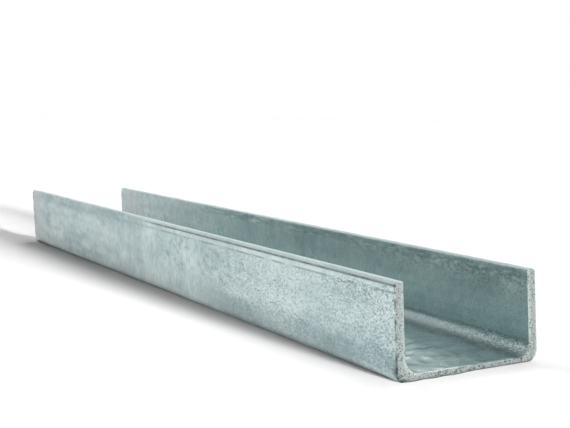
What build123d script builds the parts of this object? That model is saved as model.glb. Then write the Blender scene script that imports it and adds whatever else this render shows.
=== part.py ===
from build123d import *
import math
import os

# A hot-rolled steel channel cut to length for use as a retaining-wall post.
# It lies on the back of its web with both flanges up: the length runs along X,
# the web's width along Y, and the flanges stand up along Z. The origin is level
# with the underside of the web, in the middle of the post. Sizes are in millimetres.

# Rolled section
section_depth = 125.0
flange_width = 65.0
web_thickness = 4.7
flange_thickness = 7.5
root_radius = 8.0
left_heel_radius = 4.5
right_heel_radius = 9.0
toe_outer_radius = 2.5
toe_inner_radius = 1.0

# Length from saw cut to saw cut, and how many degrees both cuts lean off square.
# They are parallel: from web to toes, both go back towards -X.
post_length = 750.0
saw_lean = 5.0
arris_radius = 0.5


def corner(profile, across, height):
    """The profile's one corner at a distance across from the middle and a height."""
    return profile.vertices().sort_by_distance((across, height, 0))[0]


def rounded_pair(profile, half_width, height, left_radius, right_radius):
    """The profile with a left and a right corner rounded, each to its own radius."""
    profile = fillet(corner(profile, -half_width, height), left_radius)
    return fillet(corner(profile, half_width, height), right_radius)


def rolled_section():
    """The channel's profile, web down, with its four kinds of rolled corner."""
    half_depth = section_depth / 2
    half_trough = half_depth - flange_thickness
    on_base = (Align.CENTER, Align.MIN)
    envelope = Rectangle(section_depth, flange_width, align=on_base)
    trough = Rectangle(2 * half_trough, flange_width - web_thickness, align=on_base)
    profile = envelope - Pos(0, web_thickness) * trough
    roots = (half_trough, web_thickness, root_radius, root_radius)
    heels = (half_depth, 0, left_heel_radius, right_heel_radius)
    toes_outside = (half_depth, flange_width, toe_outer_radius, toe_outer_radius)
    toes_inside = (half_trough, flange_width, toe_inner_radius, toe_inner_radius)
    for pair in (roots, heels, toes_outside, toes_inside):
        profile = rounded_pair(profile, *pair)
    return profile


def saw_cut(side):
    """The plane of the cut at one end, side +1 or -1 along X, facing out of the bar."""
    angle = math.radians(saw_lean)
    outward = Vector(math.cos(angle), 0, math.sin(angle)) * side
    middle = (side * post_length / 2, 0, flange_width / 2)
    return Plane(origin=middle, x_dir=(0, 1, 0), z_dir=outward)


def arrises(bar, cut):
    """The edges that lie in the plane of one cut, all round the section."""
    return [
        edge
        for edge in bar.edges()
        if all(abs(cut.to_local_coords(edge @ step).Z) < 1e-4 for step in (0, 0.5, 1))
    ]


def c_post():
    """The rolled bar, longer than the post at first, sawn at both ends, its arrises worn."""
    half_bar = post_length / 2 + flange_width
    bar = extrude(Plane.YZ * rolled_section(), amount=half_bar, both=True)
    cuts = (saw_cut(1), saw_cut(-1))
    for cut in cuts:
        bar = split(bar, bisect_by=cut, keep=Keep.BOTTOM)
    worn = [edge for cut in cuts for edge in arrises(bar, cut)]
    return fillet(worn, arris_radius)


os.makedirs("parts", exist_ok=True)
post = c_post()
post.label = "c_post"
export_step(post, "parts/c_post.step")
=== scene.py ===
"""Looks of a hot-dip galvanised steel channel post, lying on the back of its web.

The post is one closed skin: the rolled section carried along the length, with a
worn arris and a sawn cap at each end. Its larger relief is in the mesh and its
grain is in the material. Sizes in the classes are in millimetres; meshes are in
metres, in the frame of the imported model.
"""

import logging
import math
from dataclasses import dataclass, field
from enum import Enum

import bpy
import numpy as np
from mathutils import Matrix, Vector


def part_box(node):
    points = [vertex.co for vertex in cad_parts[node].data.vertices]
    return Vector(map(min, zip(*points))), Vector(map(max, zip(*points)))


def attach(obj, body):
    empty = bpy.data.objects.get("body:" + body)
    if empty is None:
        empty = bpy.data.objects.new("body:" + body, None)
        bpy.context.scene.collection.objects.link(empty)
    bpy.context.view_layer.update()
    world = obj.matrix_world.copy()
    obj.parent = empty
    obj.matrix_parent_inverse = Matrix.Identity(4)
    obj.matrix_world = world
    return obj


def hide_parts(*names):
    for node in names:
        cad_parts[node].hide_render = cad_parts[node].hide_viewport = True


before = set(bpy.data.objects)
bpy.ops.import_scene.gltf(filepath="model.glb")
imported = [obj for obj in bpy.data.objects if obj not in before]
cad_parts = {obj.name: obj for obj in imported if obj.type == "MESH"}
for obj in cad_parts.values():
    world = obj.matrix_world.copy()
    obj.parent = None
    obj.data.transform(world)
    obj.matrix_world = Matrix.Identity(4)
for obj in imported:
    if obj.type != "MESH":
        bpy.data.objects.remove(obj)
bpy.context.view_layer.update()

MM = 0.001
METRE = 1000
Faces = dict[str, np.ndarray]
Ramps = tuple[tuple[float, float], ...]
Rows = tuple[tuple, ...]
log = logging.getLogger("post")


class Skin(Enum):
    """What a face of the mesh is dressed with, as its material's place."""

    ZINC = 0
    SAWN = 1


# Small tools


def linear(hex_colour: str) -> tuple[float, float, float, float]:
    """Turns an sRGB hex colour into the linear colour that a node takes.

    Args:
        hex_colour: the colour as #RRGGBB.

    Returns:
        Red, green, blue and an alpha of 1.
    """
    shades = np.array([int(hex_colour[i : i + 2], 16) / 255 for i in (1, 3, 5)])
    low, high = shades / 12.92, ((shades + 0.055) / 1.055) ** 2.4
    return (*np.where(shades <= 0.04045, low, high).tolist(), 1.0)


def place(tree: bpy.types.NodeTree, kind: str, settings: dict, inputs: dict) -> bpy.types.Node:
    """Adds one node with its settings and links.

    Args:
        tree: the node tree that takes the node.
        kind: the node's type name.
        settings: properties of the node by name.
        inputs: for each input, by name or number, a value or the socket to link.

    Returns:
        The new node.
    """
    node = tree.nodes.new(kind)
    for name, value in settings.items():
        setattr(node, name, value)
    for key, value in inputs.items():
        if isinstance(value, bpy.types.NodeSocket):
            tree.links.new(value, node.inputs[key])
        else:
            node.inputs[key].default_value = value
    return node


def shown(name: str, data: bpy.types.ID) -> bpy.types.Object:
    """Puts a mesh, a lamp or a camera into the scene.

    Args:
        name: the name of its object.
        data: what the object holds.

    Returns:
        The object, at the origin and unturned.
    """
    made = bpy.data.objects.new(name, data)
    bpy.context.scene.collection.objects.link(made)
    return made


def towards(azimuth: float, height: float) -> Vector:
    """A direction: (cos h cos a, cos h sin a, sin h), for the azimuth a and the height h, in degrees."""
    turn, rise = math.radians(azimuth), math.radians(height)
    return Vector((math.cos(rise) * math.cos(turn), math.cos(rise) * math.sin(turn), math.sin(rise)))


def ease(value: np.ndarray, start: float, end: float) -> np.ndarray:
    """A soft step: 3t^2 - 2t^3, where t goes from 0 at start to 1 at end and is held outside."""
    t = np.clip((value - start) / (end - start), 0, 1)
    return t * t * (3 - 2 * t)


def window(value: np.ndarray, low: float, high: float, soft: float) -> np.ndarray:
    """A soft window: a step up with its middle at low, times a step down with its middle at high."""
    half = soft / 2
    return ease(value, low - half, low + half) * ease(value, high + half, high - half)


def bell(value: np.ndarray, middle: float, width: float) -> np.ndarray:
    """A bell: exp(-t^2), where t is the distance from the middle over the width."""
    return np.exp(-(((value - middle) / width) ** 2))


def cloud(
    along: np.ndarray, across: np.ndarray, cell: tuple[float, float], seed: int, girth: float = 0.0
) -> np.ndarray:
    """Seeded value noise: random heights on a grid of cells, blended inside each cell.

    The blend is 3t^2 - 2t^3 in both directions. Where a girth is given, the grid
    comes round on itself after it, so that the noise has no seam.

    Args:
        along: first measure of each point, in mm.
        across: second measure of each point, in mm.
        cell: the cell's size along and across, in mm.
        seed: what the random heights are drawn from.
        girth: the distance after which the second measure repeats, or 0.

    Returns:
        Heights from -1 to 1, one for each point.
    """
    u = (along - along.min()) / cell[0]
    turns = max(2, round(girth / cell[1])) if girth else 0
    v = across / girth * turns if girth else (across - across.min()) / cell[1]
    columns = turns or int(v.max()) + 2
    heights = np.random.default_rng(seed).uniform(-1, 1, (int(u.max()) + 3, columns))
    i, j = np.floor(u).astype(int), np.floor(v).astype(int)
    s, t = ease(u - i, 0, 1), ease(v - j, 0, 1)
    left, right = j % columns, (j + 1) % columns
    low = heights[i, left] * (1 - t) + heights[i, right] * t
    high = heights[i + 1, left] * (1 - t) + heights[i + 1, right] * t
    return low * (1 - s) + high * s


# Rolled section


@dataclass(frozen=True)
class Path:
    """A path across the section from the near toe to the far toe, in mm.

    points holds y and z, and normals the direction out of the steel.
    """

    points: np.ndarray
    normals: np.ndarray

    def closed_by(self, other: "Path") -> "Path":
        """This half joined to the mirror image of another half that also ends midway."""
        flip = np.array((-1.0, 1.0))
        return Path(
            np.vstack((self.points, other.points[-2::-1] * flip)),
            np.vstack((self.normals, other.normals[-2::-1] * flip)),
        )


def bend(
    centre: tuple[float, float], radius: float, sweep: tuple[float, float], steps: int, hollow: bool
) -> Path:
    """An arc: its centre plus the radius times (cos a, sin a), for equal steps of the angle a.

    Args:
        centre: the arc's centre, as y and z.
        radius: its radius.
        sweep: its first and last angle in degrees; the last point is left out.
        steps: how many points it has.
        hollow: whether the steel is outside the arc, so that normals point to its centre.

    Returns:
        The arc as a path.
    """
    angle = np.radians(np.linspace(*sweep, steps + 1)[:-1])
    ray = np.column_stack((np.cos(angle), np.sin(angle)))
    return Path(np.array(centre) + radius * ray, -ray if hollow else ray)


def straight(
    start: tuple[float, float], end: tuple[float, float], shares: np.ndarray, normal: tuple[float, float]
) -> Path:
    """A straight run: its start plus a share of the way to its end, for each share.

    Args:
        start: its first point, as y and z.
        end: where it goes, which is left out unless the last share is 1.
        shares: how far along each point is, from 0 to 1.
        normal: the direction out of the steel.

    Returns:
        The run as a path.
    """
    first, last = np.array(start), np.array(end)
    points = first + (last - first) * shares[:, None]
    return Path(points, np.tile(np.array(normal, float), (len(shares), 1)))


def joined(runs: list[Path]) -> Path:
    """Runs of a path, end to end."""
    return Path(np.vstack([r.points for r in runs]), np.vstack([r.normals for r in runs]))


@dataclass(frozen=True)
class RolledSection:
    """Sizes of the channel's section and how finely each run of it is divided.

    The outer and the inner path have the same number of points, so that the sawn
    cap is a grid between them. The zinc that ran together in the inner corners gives
    them a larger radius than the bare steel has.
    """

    depth: float
    flange: float
    web: float = 4.7
    wall: float = 7.5
    root: float = 11.0
    near_heel: float = 4.5
    far_heel: float = 9.0
    toe_outer: float = 2.5
    toe_inner: float = 1.0
    toe_steps: int = 6
    corner_steps: int = 10
    web_steps: int = 18
    lip_share: float = 0.16
    lip_steps: int = 18
    flange_steps: int = 21
    layers: int = 5

    def flange_shares(self) -> np.ndarray:
        """Shares along a flange from its toe, closer together under the toe."""
        lip = np.linspace(0, self.lip_share, self.lip_steps + 1)[:-1]
        return np.concatenate((lip, np.linspace(self.lip_share, 1, self.flange_steps + 1)[:-1]))

    def web_shares(self) -> np.ndarray:
        """Shares along half the web, with its middle."""
        return np.linspace(0, 1, self.web_steps + 1)

    def outer_half(self, heel: float) -> Path:
        """Toe radius, flange, heel radius and half the back of the web, outside.

        Args:
            heel: the heel's radius on this side.

        Returns:
            The half that ends in the middle of the web.
        """
        half, top, toe = self.depth / 2, self.flange, self.toe_outer
        return joined(
            [
                bend((toe - half, top - toe), toe, (90, 180), self.toe_steps, False),
                straight((-half, top - toe), (-half, heel), self.flange_shares(), (-1, 0)),
                bend((heel - half, heel), heel, (180, 270), self.corner_steps, False),
                straight((heel - half, 0), (0, 0), self.web_shares(), (0, -1)),
            ]
        )

    def outer(self) -> Path:
        """The outside, whose two heels differ in radius."""
        return self.outer_half(self.near_heel).closed_by(self.outer_half(self.far_heel))

    def inner(self) -> Path:
        """Toe radius, flange, root radius and face of the web, inside, on both sides.

        Returns:
            The whole inner path.
        """
        half, top = self.depth / 2 - self.wall, self.flange
        toe, root, web = self.toe_inner, self.root, self.web
        side = joined(
            [
                bend((-half - toe, top - toe), toe, (90, 0), self.toe_steps, False),
                straight((-half, top - toe), (-half, web + root), self.flange_shares(), (1, 0)),
                bend((root - half, web + root), root, (180, 270), self.corner_steps, True),
                straight((root - half, web), (0, web), self.web_shares(), (0, 1)),
            ]
        )
        return side.closed_by(side)

    def loop(self) -> Path:
        """The closed section: out along the outer path, over the far toe and back inside.

        Returns:
            The section as one path, whose last point comes before its first.
        """
        outer, inner = self.outer(), self.inner()
        shares = np.linspace(0, 1, self.layers + 1)[1:-1]
        far = straight(outer.points[-1], inner.points[-1], shares, (0, 1))
        near = straight(inner.points[0], outer.points[0], shares, (0, 1))
        back = Path(inner.points[::-1], inner.normals[::-1])
        return joined([outer, far, back, near])


# Marks on the zinc


@dataclass(frozen=True)
class Mark:
    """A stain or a hump: its middle and its half sizes in mm, and how strong it is."""

    along: float
    height: float
    half_length: float
    half_height: float
    strength: float


@dataclass(frozen=True)
class Wash:
    """A broad lighter or darker area of one face.

    Each ramp is a pair of places in mm, between which the wash comes in; a pair that
    goes back makes it fade out. ragged says that its height sways with the flecks.
    """

    tone: float
    face: str
    along: Ramps = ()
    height: Ramps = ()
    ragged: bool = False


# Stains on the near flange, whose strength is how much lighter they are.
NEAR_MARKS = (
    Mark(-371, 32, 5, 9, -0.9),
    Mark(-362, 47, 9, 2.5, -0.45),
    Mark(-372, 55, 5, 8, -0.5),
    Mark(-350, 30, 14, 22, 0.12),
    Mark(-339, 9, 9, 4, -0.35),
    Mark(-322, 30, 7, 34, -0.55),
    Mark(-297, 22, 9, 5, 0.4),
    Mark(-300, 12, 10, 4, -0.3),
    Mark(-281, 27, 8, 4, -0.55),
    Mark(-225, 57, 14, 1.5, -0.4),
    Mark(-180, 57, 14, 3, -0.5),
    Mark(-190, 40, 22, 16, 0.12),
    Mark(-130, 34, 30, 14, 0.14),
    Mark(-62, 44, 9, 9, -0.2),
    Mark(-28, 40, 13, 14, 0.22),
    Mark(-30, 27, 14, 2.5, 0.35),
    Mark(-33, 22, 11, 2, -0.35),
    Mark(7, 38, 4, 18, -0.6),
    Mark(18, 33, 8, 8, 0.35),
    Mark(20, 13, 8, 3, 0.4),
    Mark(36, 9, 9, 4, -0.3),
    Mark(64, 44, 4, 10, 0.55),
    Mark(84, 36, 15, 18, 0.35),
    Mark(76, 6, 17, 3, -0.6),
    Mark(109, 18, 7, 12, -0.4),
    Mark(131, 50, 5, 4, -0.5),
    Mark(145, 27, 8, 3, -0.5),
    Mark(172, 32, 16, 12, 0.25),
    Mark(205, 30, 9, 3, -0.35),
    Mark(214, 55, 26, 6, 0.2),
    Mark(263, 19, 8, 2, -0.8),
    Mark(292, 57, 1.6, 2.2, -1.6),
    Mark(312, 38, 24, 14, 0.1),
    Mark(357, 17, 3, 2.5, -0.9),
)

# Frozen drips of zinc, whose strength is how far they stand proud, in mm.
DRIPS = (
    Mark(-307, 3.4, 4.5, 2.7, 0.9),
    Mark(-367, 2.6, 4.0, 2.4, 0.8),
    Mark(-221, 3.0, 3.0, 1.8, 0.4),
    Mark(58, 3.2, 3.0, 1.8, 0.4),
    Mark(84, 2.6, 3.5, 2.1, 0.5),
    Mark(127, 3.0, 3.0, 1.8, 0.4),
)

WASHES = (
    Wash(-0.10, "near_outer", ((60, 110), (190, 140))),
    Wash(-0.05, "near_outer", ((240, 290),)),
    Wash(-0.22, "near_outer", ((110, -40),)),
    # Painted light: the low part of the near face, towards the far end, is lighter, against the shaded
    # floor that it mirrors.
    Wash(0.26, "near_outer", ((240, 60),), ((30, 8),)),
    Wash(0.30, "near_outer", ((240, 60),), ((14, 2),)),
    Wash(0.10, "near_outer", ((160, 220), (320, 260))),
    Wash(0.08, "near_outer", ((-120, -60), (50, -10))),
    Wash(0.16, "near_outer", ((-20, 60),), ((57.8, 58.8), (62.5, 61.5))),
    Wash(-0.30, "near_outer", ((60, 180),), ((23, 16),), True),
    Wash(-0.10, "near_outer", ((200, 300),), ((23, 16),), True),
    Wash(-0.08, "near_outer", ((30, 90), (260, 200)), ((23, 16),), True),
    Wash(-0.32, "far_inner", ((-120, -190),)),
    Wash(0.15, "far_inner", ((-90, 60),)),
    # Painted shade: the far flange's inside is darker towards its root.
    Wash(-0.06, "far_inner", (), ((34, 14),)),
    Wash(-0.20, "far_inner", ((100, 260),), ((44, 12),)),
    Wash(-0.08, "far_inner", ((60, 240),), ((37, 47), (63, 53))),
)


def spotted(marks: tuple[Mark, ...], along: np.ndarray, height: np.ndarray) -> np.ndarray:
    """The sum of the marks: for each, its strength times a bell along and a bell in height.

    Args:
        marks: what is summed.
        along: where each point is along the post, in mm.
        height: how high each point is, in mm.

    Returns:
        The sum at each point.
    """
    total = np.zeros(along.shape)
    for mark in marks:
        spot = mark.strength * bell(along, mark.along, mark.half_length)
        total += spot * bell(height, mark.height, mark.half_height)
    return total


# The skin


@dataclass(frozen=True)
class Grid:
    """The skin's points before any relief: rows along the post, columns round the section.

    along, across and height are where each point is, and around is how far round the
    section it is, in mm. faces holds how much each column belongs to each face.
    """

    along: np.ndarray
    across: np.ndarray
    height: np.ndarray
    around: np.ndarray
    faces: Faces
    seed: int
    girth: float

    def noise(
        self, cell: tuple[float, float], number: int, shift: np.ndarray | float = 0.0
    ) -> np.ndarray:
        """Seeded noise over the grid, which has no seam round the section.

        Args:
            cell: the cell's size along the post and round the section, in mm.
            number: which of the skin's noises it is, added to the seed.
            shift: how far each point is moved along the post for it.

        Returns:
            Heights from -1 to 1, one for each point.
        """
        return cloud(self.along + shift, self.around, cell, self.seed + number, self.girth)


@dataclass
class Weathering:
    """How the zinc has aged, with painted light and shade, as the five measures that the material reads.

    half is half the post's length. The two lines that the mill rolled into each
    flange, under the toe, have their heights here; both are drawn darker.
    """

    grid: Grid
    half: float
    groove_height: float
    toe_line_height: float = 62.6
    broad: np.ndarray = field(init=False)
    patch: np.ndarray = field(init=False)
    streak: np.ndarray = field(init=False)
    fleck: np.ndarray = field(init=False)
    smear: np.ndarray = field(init=False)
    shift: np.ndarray = field(init=False)
    rise: np.ndarray = field(init=False)
    band: np.ndarray = field(init=False)
    rim: np.ndarray = field(init=False)

    def __post_init__(self) -> None:
        """Draws the noises that the measures share, and what sways with them.

        shift is the place along the post moved by the patches, and rise the height
        moved by the flecks. band is a rough strip high up by the near end, and rim the
        strip under the far toe, inside.
        """
        cells = ((46, 30), (14, 11), (6, 70), (5, 4), (70, 3))
        drawn = [self.grid.noise(cell, 10 + i) for i, cell in enumerate(cells)]
        self.broad, self.patch, self.streak, self.fleck, self.smear = drawn
        self.shift = self.grid.along + 3.5 * self.patch
        self.rise = self.grid.height + 2.0 * self.fleck
        self.band = window(self.rise, 53, 60, 3) * window(self.grid.along, 304, 368, 28)
        self.rim = window(self.grid.height, 46, 62, 8) * self.grid.faces["far_inner"]

    def washed(self) -> np.ndarray:
        """The sum of the washes: for each, its tone times its face times all its ramps.

        Returns:
            How much lighter each point is.
        """
        total = np.zeros(self.grid.along.shape)
        for wash in WASHES:
            share = wash.tone * self.grid.faces[wash.face]
            height = self.rise if wash.ragged else self.grid.height
            for measure, ramps in ((self.grid.along, wash.along), (height, wash.height)):
                for ramp in ramps:
                    share = share * ease(measure, *ramp)
            total += share
        return total

    def near_tone(self) -> np.ndarray:
        """The near flange's marks: mottling, clouds, a dull strip, crinkles in painted shade, a painted
        highlight on the top inner arris and a heel painted lighter.

        A crinkle is where a noise passes through 0: 1 minus its size over a quarter.

        Returns:
            How much lighter each point is.
        """
        grid, along, y = self.grid, self.grid.along, self.grid.across
        mottle = 0.22 * grid.noise((15, 4.5), 25) * ease(along, 40, -260)
        clouds = 0.10 * grid.noise((24, 9), 22)
        strip = 0.20 * ease(self.rise, 48, 58) * ease(along, -10, -70) * (1 + 0.5 * self.patch)
        # Painted shade: the crinkles in the zinc are drawn as thin dark lines.
        crinkle = np.clip(1 - np.abs(grid.noise((7, 4), 20)) / 0.25, 0, 1)
        crinkle = crinkle * window(along, 10, 190, 60) * window(self.rise, 26, 56, 10)
        stains = 0.32 * spotted(NEAR_MARKS, self.shift, self.rise)
        own = stains + mottle + clouds - strip - 0.45 * crinkle - 0.10 * self.band
        # Painted highlight: a bright line along the top inner arris of the near toe.
        arris_highlight = grid.faces["toe"] * (y < 0) * ease(y, -60, -57.5)
        # Painted light: the heel is lighter, against the shaded floor that it mirrors.
        return own * grid.faces["near_outer"] + 0.45 * grid.faces["heel"] + 0.6 * arris_highlight

    def far_tone(self) -> np.ndarray:
        """The far flange's inside: bright flecks and specks under its toe, a darker toe, and painted
        shade in its root.

        Returns:
            How much lighter each point is.
        """
        grid, along, z = self.grid, self.grid.along, self.grid.height
        flecks = 1.1 * np.clip(grid.noise((9, 1.6), 21) - 0.2, 0, 1) - 0.28
        flecks = flecks * window(z, 57, 63.5, 1.5) * ease(along, -200, -60)
        specks = 0.8 * np.clip(grid.noise((4, 1.7), 23), -0.2, 1) - 0.12
        specks = specks * window(z, 52, 62, 5) * ease(along, 100, 300)
        # Painted shade in the far root; the far toe is also drawn darker.
        dark = 0.9 * grid.faces["root"] + 0.2 * grid.faces["toe"] * (grid.across > 0)
        return (flecks + specks) * grid.faces["far_inner"] - dark

    def tone(self) -> np.ndarray:
        """How light the zinc is, round 0.5: a base with patches, streaks, each face's marks and painted
        light.

        The web goes from light on the near side to dark on the far side: a painted reflection.

        Returns:
            The tone of each point.
        """
        along, faces = self.grid.along, self.grid.faces
        near, far = faces["near_outer"], faces["far_inner"]
        flanges = near + faces["far_outer"] + faces["near_inner"] + far
        streaky = window(along, -130, 210, 90)
        base = 0.58 + 0.10 * self.broad + 0.08 * self.patch
        streaks = flanges * (0.09 * streaky * self.streak + 0.08 * (1 - streaky) * self.smear)
        flecks = (0.07 + 0.09 * ease(along, -60, -330)) * self.fleck * (near + far)
        # Painted reflection: the web is light on the near side and dark towards the far flange, as it
        # mirrors them.
        web = 0.62 - 1.22 * ease(self.grid.across, -34, 36) + 0.20 * self.streak * ease(along, 200, 320)
        faced = self.near_tone() + self.far_tone() + web * faces["web"]
        return base + streaks + flecks + self.washed() + faced

    def grit(self) -> np.ndarray:
        """How much grain shows: most on the near flange towards the near end, less low and under the toe.

        Returns:
            The grit of each point.
        """
        along, z, faces = self.grid.along, self.grid.height, self.grid.faces
        rough = ease(along, 40, 230) * (0.6 + 0.4 * ease(z, 14, 24)) * (1 - 0.7 * ease(z, 55, 58))
        near = rough * (0.62 + 0.3 * self.broad) + self.band * (1.4 + 0.5 * self.patch)
        far = 0.30 * self.rim * (0.4 + 0.6 * ease(along, 120, 260))
        far = far + 0.22 * faces["far_inner"] * ease(along, 200, 330)
        root = 0.65 * faces["root"] * ease(along, 280, 350)
        return 0.12 + 0.10 * self.patch + near * faces["near_outer"] + far + root + 0.25 * faces["web"]

    def polish(self) -> np.ndarray:
        """How much of its first shine the zinc kept, most on the web, out of the weather."""
        inside = self.grid.faces["far_inner"] + self.grid.faces["near_inner"]
        return 1.3 * self.grid.faces["web"] + 0.4 * inside - 0.05 * self.rim

    def warm(self) -> np.ndarray:
        """How far the zinc goes to neutral grey: at the far end, in the far root and in patches.

        Returns:
            The warmth of each point.
        """
        faces = self.grid.faces
        patches = np.clip(self.broad + 0.6 * self.patch, 0, 1) * ease(self.grid.along, -60, -280)
        near = 0.5 * ease(self.shift, -322, -352) + 0.5 * patches
        far = 0.5 * ease(self.shift, -290, -335)
        return near * faces["near_outer"] + far * faces["far_inner"] + 0.25 * faces["root"]

    def grime_and_shade(self) -> np.ndarray:
        """How dark the zinc is drawn: bells at the two rolled lines, darker edges at both cuts, and
        painted shade at the near foot, along the near end's bottom edge, in the far root and on the web
        beside it.

        Returns:
            The grime of each point.
        """
        along, z, faces, half = self.grid.along, self.grid.height, self.grid.faces, self.half
        uneven = 0.85 + 0.12 * (1.6 * self.fleck + 0.9 * self.patch)
        toe_line = bell(z, self.toe_line_height, 0.75) * (0.06 + 0.94 * ease(along, -50, 10))
        groove = bell(z, self.groove_height, 0.8) * (0.12 + 0.38 * ease(along, -60, 20))
        groove = groove * np.clip(0.55 + 1.2 * self.patch + 0.6 * self.fleck, 0, 1)
        lines = np.clip(toe_line * uneven + groove, 0, 1)
        sawn = np.clip(0.66 + 0.9 * self.grid.noise((9, 3.4), 24), 0, 1)
        sawn = sawn * window(along, half - 0.55, half + 0.1, 0.3) * (1 - 0.6 * ease(z, 50, 58))
        # Painted shade: dark contact shade along the near flange's foot, towards the near end.
        foot = 0.45 * ease(z, 2.6, 0.6) * ease(along, half - 40, half - 6) * (0.7 + 0.6 * self.fleck)
        corner = 0.7 * bell(z, 7, 3.5) * window(along, half - 3.2, half, 1.5)
        torn = 0.5 * ease(along, 5 - half, 1.5 - half) * np.clip(0.4 + 1.4 * self.fleck, 0, 1)
        band = 0.12 * self.band * np.clip(self.fleck, 0, 1)
        near = (lines + band + sawn + foot + corner + torn) * faces["near_outer"]
        # Painted shade: a dark contact line along the bottom edge of the near end.
        edge = 0.8 * ease(z, 1.5, 0.5) * ease(along, half - 1.2, half - 0.2)
        # Painted shade in the far root's inner corner, and on the web beside it.
        root_shade = 0.12 * faces["root"] + 0.22 * faces["root_foot"]
        return near + edge + root_shade + 0.09 * faces["web"] * ease(self.grid.across, 30, 44)

    def measures(self) -> dict[str, np.ndarray]:
        """All five, each held from 0 to 1.

        Returns:
            Each measure by the name of its attribute.
        """
        found = {
            "tone": self.tone(),
            "grit": self.grit(),
            "warm": self.warm(),
            "grime_and_shade": self.grime_and_shade(),
            "polish": self.polish(),
        }
        shape = self.grid.along.shape
        return {name: np.clip(np.broadcast_to(v, shape), 0, 1) for name, v in found.items()}


@dataclass
class ZincSkin:
    """The post's skin: the section carried along the length, closed by two sawn caps.

    lean is how many degrees both cuts lean, and twist how far the far cut is out: in
    all, with y, with z and with their product. The heights of the relief are in mm.
    """

    section: RolledSection
    length: float
    lean: float = 5.0
    arris: float = 0.5
    arris_steps: int = 3
    lean_reach: float = 40.0
    coarse_step: float = 2.9
    fine_step: float = 2.0
    fine_from: float = 180.0
    end_zone: float = 15.0
    twist: tuple[float, float, float, float] = (1.4, 2.6, -0.45, 2.75)
    twist_reach: float = 24.0
    burr: float = 2.2
    burr_height: float = 1.8
    waves: float = 0.06
    runs: float = 0.03
    clots: float = 0.22
    ripples: float = 0.08
    ripple_length: float = 8.5
    creases: float = 1.0
    groove: float = 0.14
    groove_height: float = 57.8
    torn: float = 0.35
    crust: float = 0.5
    saw_depth: float = 0.03
    saw_pitch: float = 3.1
    pit_depth: float = 0.5
    seed: int = 41
    name: str = "zinc_skin"
    loop: Path = field(init=False)
    around: np.ndarray = field(init=False)
    girth: float = field(init=False)

    def __post_init__(self) -> None:
        """Works out the closed section and the distance round it."""
        self.loop = self.section.loop()
        steps = np.linalg.norm(np.roll(self.loop.points, -1, 0) - self.loop.points, axis=1)
        self.around = np.concatenate(([0.0], np.cumsum(steps)[:-1]))
        self.girth = float(steps.sum())

    def stations(self) -> tuple[np.ndarray, np.ndarray]:
        """Where the section stands along the length, and how far it is drawn in at each place.

        At an end, the last stations follow a quarter circle of the arris radius:
        sin a out along the length and 1 - cos a in from the surface.

        Returns:
            Positions in mm, and insets in mm.
        """
        half, worn = self.length / 2, self.arris
        breaks = (worn - half, self.end_zone - half, self.fine_from, half - 3.5, half - worn)
        paces = (1.5, self.coarse_step, self.fine_step, 0.6)
        runs = [
            np.linspace(a, b, max(2, round((b - a) / pace)) + 1)[:-1]
            for a, b, pace in zip(breaks, breaks[1:], paces)
        ]
        middle = np.concatenate([*runs, [breaks[-1]]])
        turn = np.radians(np.linspace(0, 90, self.arris_steps + 1)[1:])
        out, drawn = worn * np.sin(turn), worn * (1 - np.cos(turn))
        along = np.concatenate((breaks[0] - out[::-1], middle, breaks[-1] + out))
        inset = np.concatenate((drawn[::-1], np.zeros(len(middle)), drawn))
        return along, inset

    def leaned(self, along: np.ndarray, across: np.ndarray, height: np.ndarray) -> np.ndarray:
        """Positions along the length, sheared back with height near both parallel cuts.

        The shift is tan(lean) times the height above the middle of the flange. The far
        cut is also twisted, by a sum of y, z and y times z, and wavy by a sum of sines;
        the near one has a burr along its foot, which is a bell in height.

        Args:
            along: positions on a square-ended post.
            across: places across the web.
            height: heights above the floor.

        Returns:
            Positions on the real one.
        """
        half, middle = self.length / 2, self.section.flange / 2
        share = ease(np.abs(along), half - self.lean_reach, half)
        y, z = across / (self.section.depth / 2), height / middle - 1
        even, by_y, by_z, by_both = self.twist
        twist = even + by_y * y + by_z * z + by_both * y * z
        wavy = 0.5 * np.sin(height / 2.3 + 2 * np.sin(across / 9)) + 0.4 * np.sin(across / 3.1)
        burr = self.burr * bell(height, 0, self.burr_height) * window(across, -64, -2, 16)
        burr = burr * (0.75 + 0.25 * np.sin(across / 2.9)) * ease(along, half - 2.5, half)
        torn = ease(along, self.twist_reach - half, -half) * (twist + wavy)
        return along - share * middle * z * math.tan(math.radians(self.lean)) + torn + burr

    def weights(self) -> Faces:
        """How much each point of the section belongs to each face, from its normal.

        Returns:
            For each face by name, a weight from 0 to 1 for each point of the section.
        """
        y, z = self.loop.points.T
        ny, nz = self.loop.normals.T
        count = len(self.section.outer().points)
        outside = np.arange(len(y)) < count
        inside = ~outside & (np.abs(y) <= self.section.depth / 2 - self.section.wall + 1e-6)
        low = inside & (z < self.section.web + self.section.root)
        turning = np.clip(4 * np.abs(ny) * np.clip(nz, 0, 1), 0, 1)
        return {
            "near_outer": outside * (y < 0) * np.clip(-ny, 0, 1),
            "far_outer": outside * (y > 0) * np.clip(ny, 0, 1),
            "near_inner": inside * (y < 0) * np.clip(ny, 0, 1),
            "far_inner": inside * (y > 0) * np.clip(-ny, 0, 1),
            "web": low * np.clip(nz, 0, 1),
            "root": low * (y > 0) * turning,
            "root_foot": low * (y > 0) * (np.abs(ny) > 0.1) * ease(nz, 0.68, 0.75),
            "heel": outside * (y < 0) * ease(z, 9, 0) * (z < self.section.near_heel + 5),
            "toe": ((z > self.section.flange - self.section.toe_outer) & (nz > 0)) * 1.0,
        }

    def grid(self, stations: np.ndarray) -> Grid:
        """The section set at each station.

        Args:
            stations: positions along the post.

        Returns:
            The grid, before any relief.
        """
        along = np.repeat(stations[:, None], len(self.loop.points), 1)
        rows = (*self.loop.points.T, self.around)
        across, height, around = (np.broadcast_to(row, along.shape) for row in rows)
        return Grid(along, across, height, around, self.weights(), self.seed, self.girth)

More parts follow.
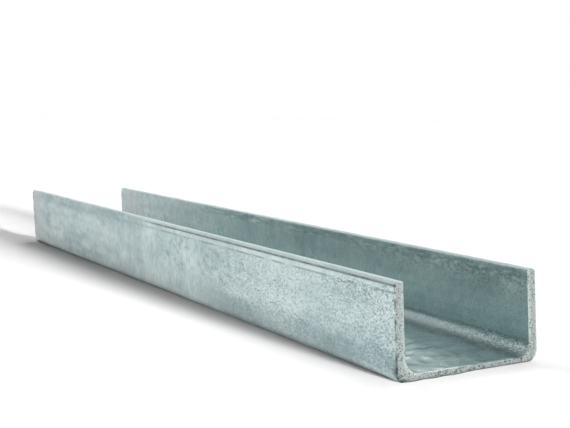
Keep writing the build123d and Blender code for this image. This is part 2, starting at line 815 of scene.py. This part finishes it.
    def relief(self, grid: Grid) -> np.ndarray:
        """How far the zinc stands proud of the rolled surface.

        It is the sum of broad waves, upright runs on the flanges, clots where the bath
        was dirty, sine ripples and creases across the face of the web, a rolled groove
        shaped as a bell under each toe, torn zinc at the far cut, crust on the toes
        towards the far end, and drips.

        Args:
            grid: the skin's points.

        Returns:
            Heights in mm, for each point of the grid.
        """
        faces, along, y = grid.faces, grid.along, grid.across
        inner = faces["near_inner"] + faces["far_inner"]
        outer = faces["near_outer"] + faces["far_outer"]
        waves = self.waves * grid.noise((34, 26), 0)
        runs = self.runs * grid.noise((7, 50), 1) * (outer + inner)
        clots = self.clots * np.clip(grid.noise((8, 7), 2) - 0.45, 0, 1) ** 1.5
        clots = clots * (1 - np.clip(inner, 0, 1))
        sway = 4 * grid.noise((30, 20), 3)
        ripples = np.sin((along + 3.5 * sway + 0.12 * y) * 2 * np.pi / self.ripple_length)
        creases = self.creases * np.abs(grid.noise((9, 12), 6, 0.6 * y + sway))
        creases = creases + 0.16 * grid.noise((4.2, 7), 7, -0.3 * y)
        web = self.ripples * ripples - creases * ease(along, 230, 330)
        web = web * (1 - 0.4 * ease(y, -32, -48)) * (0.35 + 0.65 * ease(along, 180, 320)) * faces["web"]
        groove = self.groove * bell(grid.height, self.groove_height, 0.7) * np.clip(outer, 0, 1)
        groove = groove * (0.45 + 0.55 * ease(along, -60, 60))
        torn = self.torn * grid.noise((3.5, 4), 4) * ease(along, 6 - self.length / 2, -self.length / 2)
        crust = self.crust * grid.noise((6, 3), 5) * ease(along, -70, -230) * faces["toe"]
        crust = crust * (0.4 + 0.6 * (y < 0))
        drips = spotted(DRIPS, along, grid.height) * np.clip(faces["near_outer"], 0, 1)
        return waves + runs + clots + web - groove + torn + crust + drips

    def cap(self, sign: int) -> tuple[np.ndarray, dict[str, np.ndarray]]:
        """The inner points of a sawn end: shares of the way from the outer to the inner path.

        Saw lines across the face, which are a sine, and small pits move them along the
        length. The pits are dark, a painted highlight runs along the inner edge, the
        middle of the cut is more neutral, and its foot is chipped.

        Args:
            sign: 1 for the near end and -1 for the far one.

        Returns:
            Points in mm, as rows of the grid, and what the material reads at each.
        """
        worn = self.arris
        outer, inner = self.section.outer(), self.section.inner()
        first = (outer.points - worn * outer.normals)[1:-1, None, :]
        last = (inner.points - worn * inner.normals)[1:-1, None, :]
        shares = np.linspace(0, 1, self.section.layers + 1)[1:-1][None, :, None]
        flat = first + (last - first) * shares
        y, z = flat[..., 0], flat[..., 1]
        saw = self.saw_depth * np.sin((z + 0.25 * y) * 2 * np.pi / self.saw_pitch)
        rough = 0.05 * cloud(y, z, (2.4, 2.2), self.seed + 30 + sign)
        pits = cloud(y, z, (3.0, 2.4), self.seed + 34 + sign) - 0.64 + 0.16 * (z < 6)
        pits = np.clip(pits, 0, 1) * (1 - 0.8 * (y < -50) * ease(z, 28, 44))
        x = self.leaned(np.full(y.shape, sign * self.length / 2), y, z)
        x = x + sign * (saw + rough - self.pit_depth * pits)
        # Painted highlight: a pale line along the inner edge of the cut.
        edge_highlight = np.broadcast_to([0.0, 0.0, 0.05, 0.32], pits.shape)
        neutral = np.array([0.75, 0.5, 0.25, 0.0]) * (1 - 0.8 * (y < -50) * ease(z, 50, 36))
        chipped = np.where(y > 50, 0.4, np.where(z < 6, 1.0, 0.1))
        marks = {"grime_and_shade": np.clip(2.2 * pits, 0, 1), "tone": edge_highlight, "warm": neutral, "grit": chipped}
        return np.stack((x, y, z), -1), marks

    def cap_faces(self, ring: np.ndarray, start: int, sign: int) -> np.ndarray:
        """Quads of a sawn end, between the last ring of the body and the cap's own points.

        Args:
            ring: the numbers of the ring's vertices.
            start: the number of the cap's first own vertex.
            sign: 1 for the near end and -1 for the far one.

        Returns:
            Vertex numbers, four for each face, wound so that it looks outwards.
        """
        count, layers = len(self.section.outer().points), self.section.layers
        grid = np.empty((count, layers + 1), int)
        grid[:, 0] = ring[:count]
        grid[-1, 1:-1] = ring[count : count + layers - 1]
        grid[:, -1] = ring[count + layers - 1 : 2 * count + layers - 1][::-1]
        grid[0, 1:-1] = ring[2 * count + layers - 1 :][::-1]
        grid[1:-1, 1:-1] = start + np.arange((count - 2) * (layers - 1)).reshape(count - 2, -1)
        a, b, c, d = grid[:-1, :-1], grid[1:, :-1], grid[1:, 1:], grid[:-1, 1:]
        quads = np.stack((a, b, c, d) if sign > 0 else (a, d, c, b), -1)
        return quads.reshape(-1, 4)

    def build(self) -> bpy.types.Object:
        """Builds the skin: each point of the grid moved out along its normal by the relief.

        Returns:
            The finished mesh with its attributes, as an object at the origin.
        """
        stations, inset = self.stations()
        grid = self.grid(stations)
        proud = self.relief(grid) - inset[:, None]
        flat = self.loop.points[None] + proud[..., None] * self.loop.normals[None]
        flat[..., 1] = np.maximum(flat[..., 1], 0)
        body = np.dstack((self.leaned(grid.along, flat[..., 0], flat[..., 1]), flat))
        marks = Weathering(grid, self.length / 2, self.groove_height).measures()

        numbers = np.arange(grid.along.size).reshape(grid.along.shape)
        turned = np.roll(numbers, -1, 1)
        quads = np.stack((numbers[:-1], turned[:-1], turned[1:], numbers[1:]), -1).reshape(-1, 4)
        points, polygons, skins = [body.reshape(-1, 3)], [quads], [np.full(len(quads), Skin.ZINC.value)]
        values = {name: [v.ravel()] for name, v in marks.items()}
        start = numbers.size
        for sign, ring in ((-1, numbers[0]), (1, numbers[-1])):
            own, cap_marks = self.cap(sign)
            end = self.cap_faces(ring, start, sign)
            points.append(own.reshape(-1, 3))
            polygons.append(end)
            skins.append(np.full(len(end), Skin.SAWN.value))
            for name in values:
                values[name].append(cap_marks.get(name, np.zeros(own.shape[:2])).ravel())
            start += len(points[-1])
        return self.as_object(
            np.vstack(points) * MM,
            np.vstack(polygons),
            np.concatenate(skins),
            {name: np.concatenate(v) for name, v in values.items()},
        )

    def as_object(
        self, points: np.ndarray, polygons: np.ndarray, skins: np.ndarray, values: dict[str, np.ndarray]
    ) -> bpy.types.Object:
        """Puts the arrays into a smooth-shaded mesh object.

        Args:
            points: the vertices in metres.
            polygons: four vertex numbers for each face.
            skins: the material's place for each face.
            values: the attributes, one number for each vertex.

        Returns:
            The object, linked to the scene.
        """
        mesh = bpy.data.meshes.new(self.name)
        mesh.vertices.add(len(points))
        mesh.vertices.foreach_set("co", points.astype(np.float32).ravel())
        mesh.loops.add(polygons.size)
        mesh.loops.foreach_set("vertex_index", polygons.astype(np.int32).ravel())
        mesh.polygons.add(len(polygons))
        mesh.polygons.foreach_set("loop_start", np.arange(0, polygons.size, 4, dtype=np.int32))
        mesh.polygons.foreach_set("material_index", skins.astype(np.int32))
        mesh.polygons.foreach_set("use_smooth", np.ones(len(polygons), bool))
        mesh.update(calc_edges=True)
        mesh.validate()
        for name, value in values.items():
            layer = mesh.attributes.new(name, "FLOAT", "POINT")
            layer.data.foreach_set("value", value.astype(np.float32))
        return shown(self.name, mesh)


# Finishes

# The sockets of a colour mix by number, and those of a stretched range by name.
MIX_FIRST, MIX_SECOND, MIX_RESULT = 6, 7, 2
SPAN_INPUTS = ("From Min", "From Max", "To Min", "To Max")


@dataclass(frozen=True)
class BareMetal:
    """A bare metal, in tables: each row gives what it names first to the rows after it.

    reads are attributes of the mesh, and where is the place on the post. drawn scales
    the coordinates. noises have their coordinates, their size in mm and how many finer
    layers they have. spans stretch a value's range over another one. sums are a value
    times a factor plus something, held from 0 to 1 if the row says so. Each colour is
    mixed over the ones before it, by its share. The row named matt is the roughness, and
    height and strength are the grain. What is added, a factor or a strength may be a number.
    """

    name: str
    reads: tuple[str, ...]
    noises: Rows
    spans: Rows
    sums: Rows
    base: str
    colours: Rows
    noise_rough: float
    depth_mm: float
    height: str
    strength: str | float
    drawn: Rows = ()

    def build(self) -> bpy.types.Material:
        """Builds the graph from the tables, from the attributes to one metal shader.

        Returns:
            The material.
        """
        material = bpy.data.materials.new(self.name)
        material.use_nodes = True
        tree = material.node_tree
        tree.nodes.clear()
        found = {"where": place(tree, "ShaderNodeTexCoord", {}, {}).outputs["Object"]}
        for name in self.reads:
            found[name] = place(tree, "ShaderNodeAttribute", {"attribute_name": name}, {}).outputs["Fac"]
        for name, scale in self.drawn:
            inputs = {"Vector": found["where"], "Scale": scale}
            found[name] = place(tree, "ShaderNodeMapping", {}, inputs).outputs[0]
        for name, vector, size_mm, detail in self.noises:
            inputs = {"Vector": found[vector], "Scale": METRE / size_mm, "Detail": detail}
            inputs["Roughness"] = self.noise_rough
            found[name] = place(tree, "ShaderNodeTexNoise", {}, inputs).outputs["Fac"]
        for name, value, source, target in self.spans:
            inputs = {"Value": found[value]} | dict(zip(SPAN_INPUTS, (*source, *target)))
            found[name] = place(tree, "ShaderNodeMapRange", {}, inputs).outputs[0]
        for name, value, factor, added, held in self.sums:
            settings = {"operation": "MULTIPLY_ADD", "use_clamp": held}
            inputs = {0: found[value], 1: found.get(factor, factor), 2: found.get(added, added)}
            found[name] = place(tree, "ShaderNodeMath", settings, inputs).outputs[0]
        shade = linear(self.base)
        for share, colour in self.colours:
            inputs = {0: found[share], MIX_FIRST: shade, MIX_SECOND: linear(colour)}
            shade = place(tree, "ShaderNodeMix", {"data_type": "RGBA"}, inputs).outputs[MIX_RESULT]
        grain = {"Height": found[self.height], "Distance": self.depth_mm * MM}
        grain["Strength"] = found.get(self.strength, self.strength)
        bump = place(tree, "ShaderNodeBump", {}, grain).outputs[0]
        inputs = {"Base Color": shade, "Metallic": 1.0, "Roughness": found["matt"], "Normal": bump}
        shader = place(tree, "ShaderNodeBsdfPrincipled", {}, inputs)
        place(tree, "ShaderNodeOutputMaterial", {}, {"Surface": shader.outputs[0]})
        return material


@dataclass(frozen=True)
class HotDipZinc:
    """Zinc from a bath of molten zinc, dulled by the weather: a blue-green grey metal.

    The eye sees a soft sheen with cloudy patches, faint runs where the zinc drained
    off, and fine grit where the steel under it was rough. The real grit is finer than
    a pixel, which is about a millimetre on the post, so it is drawn coarser than it is.
    """

    bright: str = "#D2E0DF"
    dull: str = "#8FA5A7"
    warm: str = "#B4BBB9"
    pit: str = "#54666A"
    glint: str = "#EAF3F2"
    # The darkest colour: dirt, and painted shade at the near foot, along the near end's bottom edge and
    # in the far root.
    grime_and_shade: str = "#47524F"
    grit_mm: float = 1.05
    fine_mm: float = 0.8
    bloom_mm: float = 16.0
    run_mm: float = 2.8
    drawn_out: float = 0.6
    drawn_down: float = 0.45
    noise_rough: float = 0.6
    middle: tuple[float, float] = (0.3, 0.7)
    bloom_tone: float = 0.12
    run_tone: float = 0.25
    runs_hidden: float = 2.4
    pit_range: tuple[float, float] = (0.48, 0.34)
    pit_share: float = 0.74
    glint_range: tuple[float, float] = (0.55, 0.68)
    glint_share: float = 0.6
    roughness: tuple[float, float] = (0.32, 0.44)
    grit_roughness: float = 0.12
    polish: float = 0.21
    grain_share: float = 0.8
    grain_strength: tuple[float, float] = (0.8, 0.15)
    grain_depth_mm: float = 0.14

    def material(self) -> bpy.types.Material:
        """Builds the material: clouds, runs, specks, glints, dirt and painted shade over one metal
        shader.

        Returns:
            The material.
        """
        return BareMetal(
            "hot_dip_zinc",
            reads=("tone", "grit", "warm", "grime_and_shade", "polish"),
            drawn=(("rolled", (self.drawn_out, 1.0, 1.0)), ("drained", (1.0, 1.0, self.drawn_down))),
            noises=(
                ("bloom", "where", self.bloom_mm, 3),
                ("runs", "drained", self.run_mm, 3),
                ("grain", "rolled", self.grit_mm, 2),
                ("fine", "rolled", self.fine_mm, 1),
            ),
            spans=(
                ("drift", "bloom", self.middle, (-self.bloom_tone, self.bloom_tone)),
                ("streak", "runs", self.middle, (-self.run_tone, self.run_tone)),
                ("dark", "grain", self.pit_range, (0.0, self.pit_share)),
                ("light", "grain", self.glint_range, (0.0, self.glint_share)),
                ("sheen", "bloom", self.middle, self.roughness),
            ),
            sums=(
                ("clouded", "drift", 1.0, "tone", True),
                ("smooth", "grit", -self.runs_hidden, 1.0, True),
                ("streaked", "streak", "smooth", "clouded", True),
                ("pits", "dark", "grit", 0.0, False),
                ("glints", "light", "grit", 0.0, False),
                ("rough", "grit", self.grit_roughness, "sheen", True),
                ("matt", "polish", -self.polish, "rough", False),
                ("height", "grain", self.grain_share, "fine", False),
                ("strength", "grit", *self.grain_strength, False),
            ),
            base=self.dull,
            colours=(
                ("streaked", self.bright),
                ("warm", self.warm),
                ("pits", self.pit),
                ("glints", self.glint),
                ("grime_and_shade", self.grime_and_shade),
            ),
            noise_rough=self.noise_rough,
            depth_mm=self.grain_depth_mm,
            height="height",
            strength="strength",
        ).build()


@dataclass(frozen=True)
class SawnDippedSteel:
    """A saw cut that was dipped after it was made: a pale neutral grey, matt and gritty.

    The eye sees no sheen, only dark specks, chips at the foot, a few open pits and a
    painted highlight along the inner edge. The specks are drawn coarser than the real
    ones, which are finer than a pixel.
    """

    base: str = "#BACBC5"
    blush: str = "#C2C4C4"
    # A painted highlight along the inner edge of the cut.
    rim: str = "#E0EBE7"
    speck: str = "#59625F"
    # The darkest colour: the pits, and painted contact shade along the near cut's bottom edge.
    grime_and_shade: str = "#3F4745"
    grit_mm: float = 1.15
    chip_mm: float = 2.3
    blotch_mm: float = 7.0
    noise_rough: float = 0.65
    blotch_blush: float = 0.5
    speck_range: tuple[float, float] = (0.48, 0.34)
    speck_share: float = 0.8
    chip_range: tuple[float, float] = (0.45, 0.34)
    chip_share: float = 0.75
    roughness: float = 0.55
    blotch_roughness: float = 0.1
    grain_strength: float = 0.7
    grain_depth_mm: float = 0.12

    def material(self) -> bpy.types.Material:
        """Builds the material: blotches, a painted highlight along the inner edge, specks, chips and pits
        over one rough metal shader.

        Returns:
            The material.
        """
        return BareMetal(
            "sawn_dipped_steel",
            reads=("grime_and_shade", "tone", "warm", "grit"),
            noises=(
                ("blotch", "where", self.blotch_mm, 2),
                ("grain", "where", self.grit_mm, 2),
                ("flaws", "where", self.chip_mm, 1),
            ),
            spans=(
                ("specks", "grain", self.speck_range, (0.0, self.speck_share)),
                ("torn", "flaws", self.chip_range, (0.0, self.chip_share)),
            ),
            sums=(
                ("blushed", "blotch", self.blotch_blush, "warm", True),
                ("chips", "torn", "grit", 0.0, False),
                ("matt", "blotch", self.blotch_roughness, self.roughness, False),
            ),
            base=self.base,
            colours=(
                ("blushed", self.blush),
                ("tone", self.rim),
                ("specks", self.speck),
                ("chips", self.speck),
                ("grime_and_shade", self.grime_and_shade),
            ),
            noise_rough=self.noise_rough,
            depth_mm=self.grain_depth_mm,
            height="grain",
            strength=self.grain_strength,
        ).build()


@dataclass(frozen=True)
class StudioPaper:
    """White seamless paper: it gives the eye an even white with soft shadows on it."""

    white: str = "#E7E7E7"

    def material(self) -> bpy.types.Material:
        """Builds the material: one even, matt white.

        Returns:
            The material.
        """
        material = bpy.data.materials.new("studio_paper")
        material.use_nodes = True
        shader = material.node_tree.nodes["Principled BSDF"]
        shader.inputs["Base Color"].default_value = linear(self.white)
        shader.inputs["Roughness"].default_value = 1.0
        shader.inputs["Specular IOR Level"].default_value = 0.0
        return material


# The studio


@dataclass(frozen=True)
class SoftLamp:
    """A broad lamp: where it stands, as azimuth from +X and height, and its width, in degrees."""

    name: str
    azimuth: float
    height: float
    width: float
    power: float

    def build(self) -> None:
        """Sets it up as a sun of that width, which the metal does not mirror."""
        lamp = bpy.data.lights.new(self.name, "SUN")
        lamp.energy, lamp.angle = self.power, math.radians(self.width)
        holder = shown(self.name, lamp)
        holder.rotation_mode = "QUATERNION"
        holder.rotation_quaternion = towards(self.azimuth, self.height).to_track_quat("Z", "Y")
        holder.visible_glossy = False


@dataclass(frozen=True)
class FillLamp:
    """A small lamp on the camera's side of the post: its place and radius are in mm."""

    name: str
    at: tuple[float, float, float]
    radius: float
    power: float

    def build(self) -> None:
        """Sets it up as a round lamp that neither the metal's mirror nor the camera sees."""
        lamp = bpy.data.lights.new(self.name, "POINT")
        lamp.energy, lamp.shadow_soft_size = self.power, self.radius * MM
        holder = shown(self.name, lamp)
        holder.location = Vector(self.at) * MM
        holder.visible_glossy = holder.visible_camera = False


LAMPS = (
    SoftLamp("side_lamp", 4.6, 4.2, 8.5, 29.5),
    SoftLamp("front_lamp", 20.0, 14.0, 24.0, 1.7),
    SoftLamp("top_lamp", 122.0, 61.5, 30.0, 1.0),
    SoftLamp("rear_lamp", 182.8, 11.5, 21.0, 3.2),
    FillLamp("fill_lamp", (230.0, -450.0, 250.0), 120.0, 1.75),
)


@dataclass(frozen=True)
class Studio:
    """Floor, sky and camera. Angles are in degrees, places and sizes in mm, focal in pixels."""

    floor_half: float = 12000.0
    sky: float = 1.0
    fill: float = 0.02
    camera_at: tuple[float, float, float] = (867.76, -449.77, 174.44)
    yaw: float = 31.575
    pitch: float = 6.090
    roll: float = 0.874
    focal: float = 990.564
    picture_width: float = 570.0
    sensor: float = 36.0
    clip: tuple[float, float] = (10.0, 100000.0)

    def floor(self) -> None:
        """A square of paper under the post."""
        half = self.floor_half * MM
        corners = [(-half, -half, 0), (half, -half, 0), (half, half, 0), (-half, half, 0)]
        mesh = bpy.data.meshes.new("floor")
        mesh.from_pydata(corners, [], [(0, 1, 2, 3)])
        mesh.materials.append(StudioPaper().material())
        floor = shown("floor", mesh)

    def surroundings(self) -> None:
        """A white room: full in the camera and in reflections, and dimmer as fill light."""
        world = bpy.data.worlds.new("white_room")
        bpy.context.scene.world = world
        world.use_nodes = True
        tree = world.node_tree
        tree.nodes.clear()
        depth = place(tree, "ShaderNodeLightPath", {}, {}).outputs["Diffuse Depth"]
        bright, dim = (
            place(tree, "ShaderNodeBackground", {}, {"Color": (1, 1, 1, 1), "Strength": level}).outputs[0]
            for level in (self.sky, self.fill)
        )
        room = place(tree, "ShaderNodeMixShader", {}, {0: depth, 1: bright, 2: dim})
        place(tree, "ShaderNodeOutputWorld", {}, {"Surface": room.outputs[0]})

    def camera(self) -> None:
        """A camera whose axis is turned by yaw from -X to +Y, tipped down by pitch and rolled."""
        ahead = towards(180 - self.yaw, -self.pitch)
        right = ahead.cross(Vector((0, 0, 1))).normalized()
        up = right.cross(ahead)
        roll = math.radians(self.roll)
        across = math.cos(roll) * right + math.sin(roll) * up
        upright = math.cos(roll) * up - math.sin(roll) * right
        lens = bpy.data.cameras.new("camera")
        lens.sensor_width = self.sensor
        lens.lens = self.focal / self.picture_width * self.sensor
        lens.clip_start, lens.clip_end = (distance * MM for distance in self.clip)
        camera = shown("camera", lens)
        turned = Matrix((across, upright, -ahead)).transposed().to_4x4()
        camera.matrix_world = Matrix.Translation(Vector(self.camera_at) * MM) @ turned
        bpy.context.scene.camera = camera

    def build(self) -> None:
        """Sets up the studio, with colours shown as they are."""
        bpy.context.scene.view_settings.view_transform = "Standard"
        self.floor()
        for lamp in LAMPS:
            lamp.build()
        self.surroundings()
        self.camera()


@dataclass(frozen=True)
class GalvanizedPost:
    """The whole object: one length of dipped channel."""

    node: str = "c_post"

    def build(self) -> bpy.types.Object:
        """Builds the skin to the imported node's box, dresses it and puts it in its place.

        Returns:
            The dressed skin.
        """
        low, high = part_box(self.node)
        section = RolledSection(depth=(high.y - low.y) / MM, flange=(high.z - low.z) / MM)
        slant = section.flange * math.tan(math.radians(ZincSkin.lean))
        skin = ZincSkin(section, length=(high.x - low.x) / MM - slant).build()
        for finish in (HotDipZinc(), SawnDippedSteel()):
            skin.data.materials.append(finish.material())
        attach(skin, "root")
        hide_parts(self.node)
        return skin


def main() -> None:
    """Builds the studio and the post."""
    logging.basicConfig(level=logging.INFO, format="%(message)s")
    Studio().build()
    post = GalvanizedPost().build()
    log.info("%s: %d vertices, %d faces", post.name, len(post.data.vertices), len(post.data.polygons))


if __name__ == "__main__":
    main()
